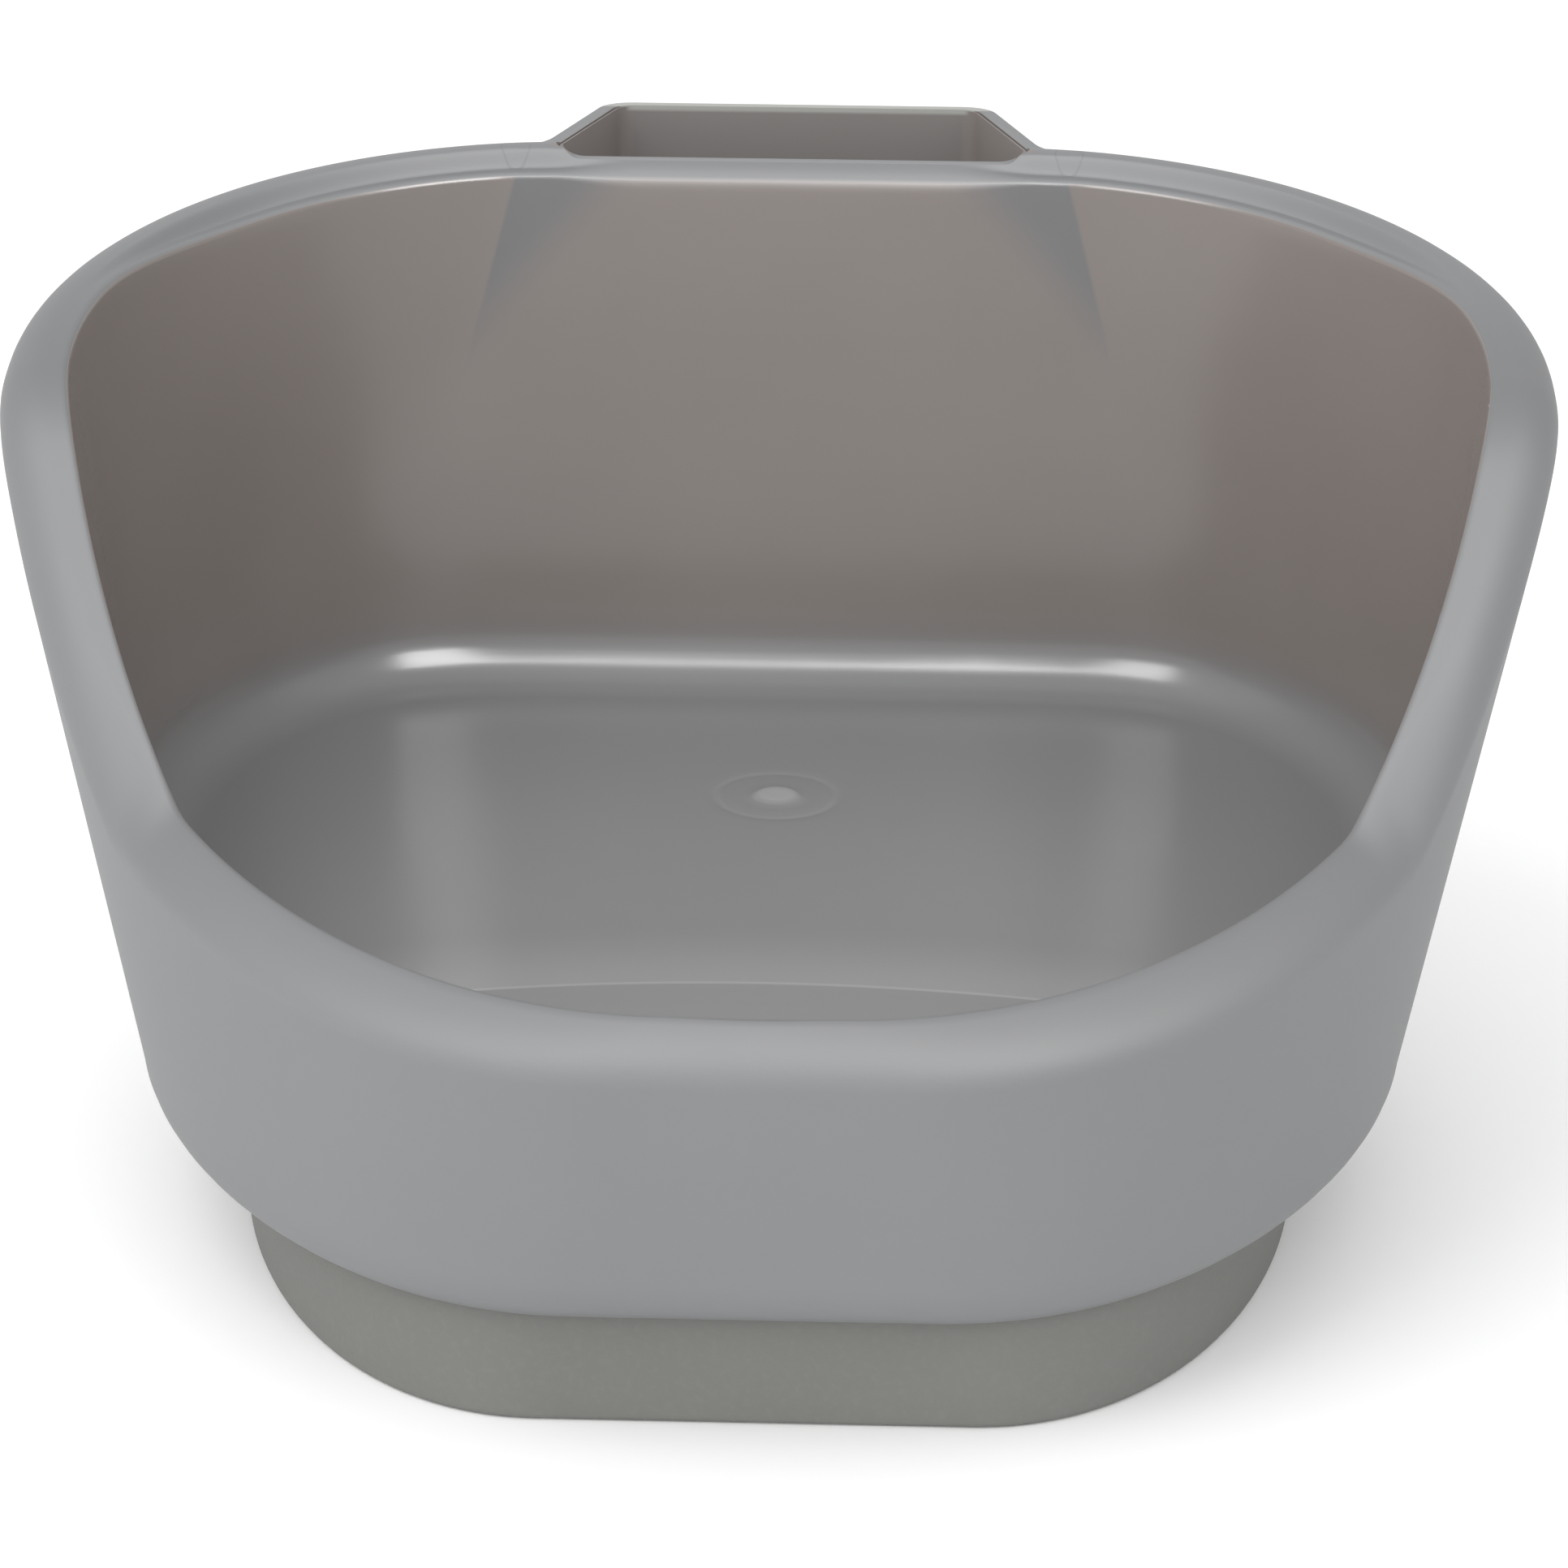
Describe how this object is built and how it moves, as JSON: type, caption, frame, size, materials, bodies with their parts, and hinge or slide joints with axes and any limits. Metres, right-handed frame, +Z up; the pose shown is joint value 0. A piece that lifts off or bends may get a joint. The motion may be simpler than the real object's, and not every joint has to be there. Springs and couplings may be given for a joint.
{
  "type": "hair color mixing bowl",
  "caption": "Scoop-fronted hair color mixing bowl with a high back, wide rolled rim, rear grip loop and a pressed-on non-slip base.",
  "frame": {"origin": "centre of the flat face that the bowl rests on, under the soft base", "axes": "+Z up; the low pouring lip faces -Y and the grip loop is at +Y; +X is to the right seen from the lip"},
  "size_m": [0.1332, 0.1289, 0.0807],
  "materials": {
    "moulded_shell": "satin outside, polished inside",
    "soft_base": "matte"
  },
  "bodies": {
    "root": {"bowl_body": "moulded_shell", "non_slip_base": "soft_base"}
  },
  "joints": []
}
